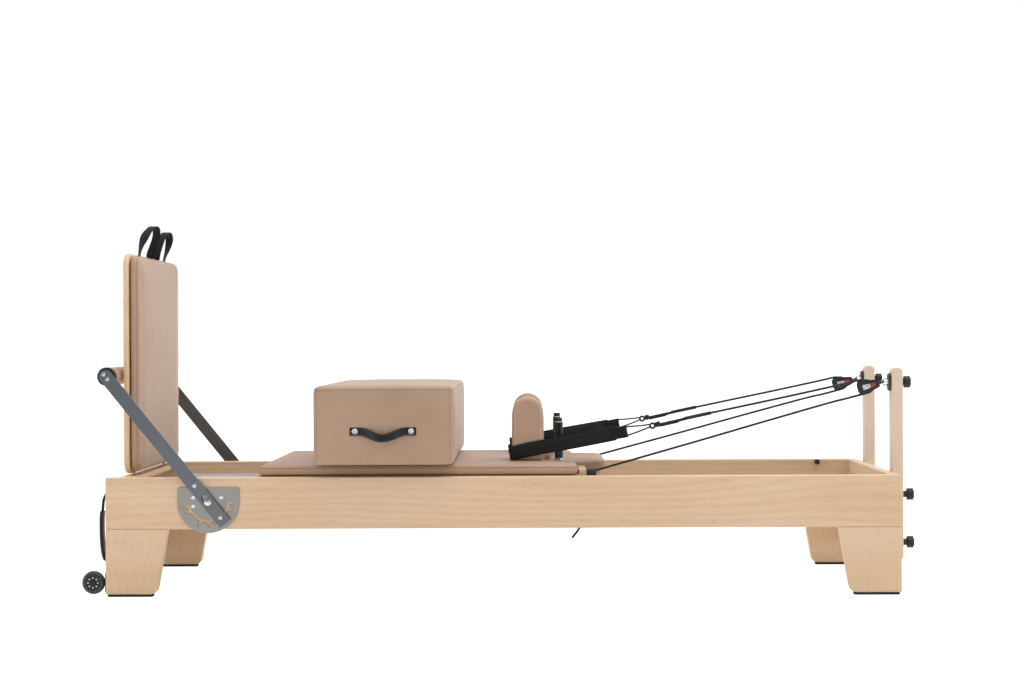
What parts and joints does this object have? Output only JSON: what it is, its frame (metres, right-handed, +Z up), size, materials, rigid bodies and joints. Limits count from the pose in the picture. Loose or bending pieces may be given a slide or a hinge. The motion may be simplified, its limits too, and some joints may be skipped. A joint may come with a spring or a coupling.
{
  "type": "pilates reformer",
  "caption": "Wooden pilates reformer with a sprung rolling carriage, swing-down foot bar, lift-off jump board, sitting box, and rope straps on head-end pulleys.",
  "frame": {"origin": "centre of the bounding box on the floor, under the middle of the machine's length", "axes": "+X from the foot end to the head end (pulley risers), +Y to the right-hand side of a person lying with the head at the head end, +Z up"},
  "size_m": [2.5446, 0.835, 1.1365],
  "materials": {
    "maple": "clear satin lacquer over pale maple, grain along each board",
    "plywood": "satin sanded birch plywood",
    "vinyl": "soft tan leatherette with a fine grain",
    "brushed_steel": "brushed along the arms",
    "zinc_steel": "bright plated",
    "track_alloy": "satin anodised",
    "black_plastic": "fine moulded texture",
    "rubber": "matt",
    "wheel_rubber": "satin polyurethane",
    "webbing": "flat woven webbing with stitched ends",
    "handle_leather": "black leather, burnished edges",
    "rope": "tight braided cord"
  },
  "bodies": {
    "frame": {"side_rail_left": "maple", "side_rail_right": "maple", "foot_end_board": "maple", "head_end_board": "maple", "foot_platform": "maple", "legs": "maple", "rubber_feet": "rubber", "tracks": "track_alloy", "spring_bar": "zinc_steel", "bumpers": "rubber", "quadrant_plates": "brushed_steel", "frame_screws": "zinc_steel", "wheel_brackets": "black_plastic", "end_straps": "webbing", "springs": "zinc_steel"},
    "carriage": {"carriage_base": "plywood", "carriage_pad": "vinyl", "carriage_brackets": "zinc_steel", "strap_posts": "black_plastic", "rope_cleats": "black_plastic", "hand_straps": "webbing", "ropes": "rope"},
    "roller_foot_left": {"roller_foot_left": "black_plastic"},
    "roller_foot_right": {"roller_foot_right": "black_plastic"},
    "roller_head_left": {"roller_head_left": "black_plastic"},
    "roller_head_right": {"roller_head_right": "black_plastic"},
    "headrest": {"headrest_base": "plywood", "headrest_pad": "vinyl"},
    "shoulder_left": {"shoulder_rest_left": "vinyl"},
    "shoulder_right": {"shoulder_rest_right": "vinyl"},
    "sitting_box": {"box_body": "vinyl", "box_handles": "handle_leather"},
    "foot_bar_pivot": {"foot_bar_slides": "brushed_steel"},
    "foot_bar": {"foot_bar_arms": "brushed_steel", "foot_bar_tube": "brushed_steel", "foot_bar_pad": "vinyl", "foot_bar_caps": "black_plastic", "foot_bar_bolts": "zinc_steel"},
    "jump_board": {"jump_board_panel": "maple", "jump_board_pad": "vinyl", "jump_board_pins": "zinc_steel", "jump_board_loops": "webbing"},
    "riser_left": {"riser_left": "maple", "pulley_mount_left": "zinc_steel"},
    "riser_right": {"riser_right": "maple", "pulley_mount_right": "zinc_steel"},
    "pulley_left": {"pulley_cheeks_left": "black_plastic"},
    "pulley_right": {"pulley_cheeks_right": "black_plastic"},
    "sheave_left": {"sheave_left": "black_plastic"},
    "sheave_right": {"sheave_right": "black_plastic"},
    "riser_knob_left": {"riser_knob_left": "black_plastic"},
    "riser_knob_right": {"riser_knob_right": "black_plastic"},
    "clamp_knob_left_upper": {"clamp_knob_left_upper": "black_plastic"},
    "clamp_knob_left_lower": {"clamp_knob_left_lower": "black_plastic"},
    "clamp_knob_right_upper": {"clamp_knob_right_upper": "black_plastic"},
    "clamp_knob_right_lower": {"clamp_knob_right_lower": "black_plastic"},
    "wheel_left": {"wheel_hub_left": "black_plastic", "wheel_tyre_left": "wheel_rubber"},
    "wheel_right": {"wheel_hub_right": "black_plastic", "wheel_tyre_right": "wheel_rubber"}
  },
  "joints": [
    {"name": "carriage_slide", "type": "slide", "parent": "frame", "child": "carriage", "axis": [1, 0, 0], "range_m": [0, 0.8], "stiffness_N_per_m": 700, "springref_m": -0.06, "deforming": ["springs", "ropes"]},
    {"name": "roller_foot_left_roll", "type": "hinge", "parent": "carriage", "child": "roller_foot_left", "pos_m": [-0.6563, -0.292, 0.3028], "axis": [0, 1, 0], "continuous": true},
    {"name": "roller_foot_right_roll", "type": "hinge", "parent": "carriage", "child": "roller_foot_right", "pos_m": [-0.6563, 0.292, 0.3028], "axis": [0, 1, 0], "continuous": true},
    {"name": "roller_head_left_roll", "type": "hinge", "parent": "carriage", "child": "roller_head_left", "pos_m": [0.1337, -0.292, 0.3028], "axis": [0, 1, 0], "continuous": true},
    {"name": "roller_head_right_roll", "type": "hinge", "parent": "carriage", "child": "roller_head_right", "pos_m": [0.1337, 0.292, 0.3028], "axis": [0, 1, 0], "continuous": true},
    {"name": "headrest_tilt", "type": "hinge", "parent": "carriage", "child": "headrest", "pos_m": [0.1467, 0, 0.3555], "axis": [0, -1, 0], "range_deg": [0, 20]},
    {"name": "shoulder_lift_left", "type": "slide", "parent": "carriage", "child": "shoulder_left", "axis": [0, 0, 1], "range_m": [0, 0.06]},
    {"name": "shoulder_lift_right", "type": "slide", "parent": "carriage", "child": "shoulder_right", "axis": [0, 0, 1], "range_m": [0, 0.06]},
    {"name": "box_lift", "type": "slide", "parent": "carriage", "child": "sitting_box", "axis": [0, 0, 1], "range_m": [0, 0.2]},
    {"name": "foot_bar_swing", "type": "hinge", "parent": "frame", "child": "foot_bar_pivot", "pos_m": [-0.8833, 0, 0.287], "axis": [0, 1, 0], "range_deg": [-48, 0]},
    {"name": "foot_bar_latch", "type": "slide", "parent": "foot_bar_pivot", "child": "foot_bar", "axis": [-0.6293, 0, 0.7771], "range_m": [-0.013, 0]},
    {"name": "jump_board_lift", "type": "slide", "parent": "frame", "child": "jump_board", "axis": [0, 0, 1], "range_m": [0, 0.1]},
    {"name": "riser_height_left", "type": "slide", "parent": "frame", "child": "riser_left", "axis": [0, 0, 1], "range_m": [-0.07, 0]},
    {"name": "pulley_swivel_left", "type": "hinge", "parent": "riser_left", "child": "pulley_left", "pos_m": [1.178, -0.2, 0.636], "axis": [0, 0, 1], "range_deg": [-20, 20]},
    {"name": "sheave_spin_left", "type": "hinge", "parent": "pulley_left", "child": "sheave_left", "pos_m": [1.12801, -0.2, 0.62167], "axis": [0, 1, 0], "continuous": true},
    {"name": "riser_knob_turn_left", "type": "hinge", "parent": "riser_left", "child": "riser_knob_left", "pos_m": [1.2437, -0.197, 0.636], "axis": [1, 0, 0], "continuous": true},
    {"name": "clamp_knob_turn_left_upper", "type": "hinge", "parent": "frame", "child": "clamp_knob_left_upper", "pos_m": [1.2437, -0.197, 0.289], "axis": [1, 0, 0], "continuous": true},
    {"name": "clamp_knob_turn_left_lower", "type": "hinge", "parent": "frame", "child": "clamp_knob_left_lower", "pos_m": [1.2437, -0.197, 0.141], "axis": [1, 0, 0], "continuous": true},
    {"name": "wheel_spin_left", "type": "hinge", "parent": "frame", "child": "wheel_left", "pos_m": [-1.2373, -0.32, 0.042], "axis": [0, 1, 0], "continuous": true},
    {"name": "riser_height_right", "type": "slide", "parent": "frame", "child": "riser_right", "axis": [0, 0, 1], "range_m": [-0.07, 0]},
    {"name": "pulley_swivel_right", "type": "hinge", "parent": "riser_right", "child": "pulley_right", "pos_m": [1.178, 0.2, 0.636], "axis": [0, 0, 1], "range_deg": [-20, 20]},
    {"name": "sheave_spin_right", "type": "hinge", "parent": "pulley_right", "child": "sheave_right", "pos_m": [1.12801, 0.2, 0.62167], "axis": [0, 1, 0], "continuous": true},
    {"name": "riser_knob_turn_right", "type": "hinge", "parent": "riser_right", "child": "riser_knob_right", "pos_m": [1.2437, 0.197, 0.636], "axis": [1, 0, 0], "continuous": true},
    {"name": "clamp_knob_turn_right_upper", "type": "hinge", "parent": "frame", "child": "clamp_knob_right_upper", "pos_m": [1.2437, 0.197, 0.289], "axis": [1, 0, 0], "continuous": true},
    {"name": "clamp_knob_turn_right_lower", "type": "hinge", "parent": "frame", "child": "clamp_knob_right_lower", "pos_m": [1.2437, 0.197, 0.141], "axis": [1, 0, 0], "continuous": true},
    {"name": "wheel_spin_right", "type": "hinge", "parent": "frame", "child": "wheel_right", "pos_m": [-1.2373, 0.32, 0.042], "axis": [0, 1, 0], "continuous": true}
  ],
  "couplings": [
    {"joint": "roller_foot_left_roll", "follows": "carriage_slide", "rad_per_m": 44.444},
    {"joint": "roller_foot_right_roll", "follows": "carriage_slide", "rad_per_m": 44.444},
    {"joint": "roller_head_left_roll", "follows": "carriage_slide", "rad_per_m": 44.444},
    {"joint": "roller_head_right_roll", "follows": "carriage_slide", "rad_per_m": 44.444}
  ]
}
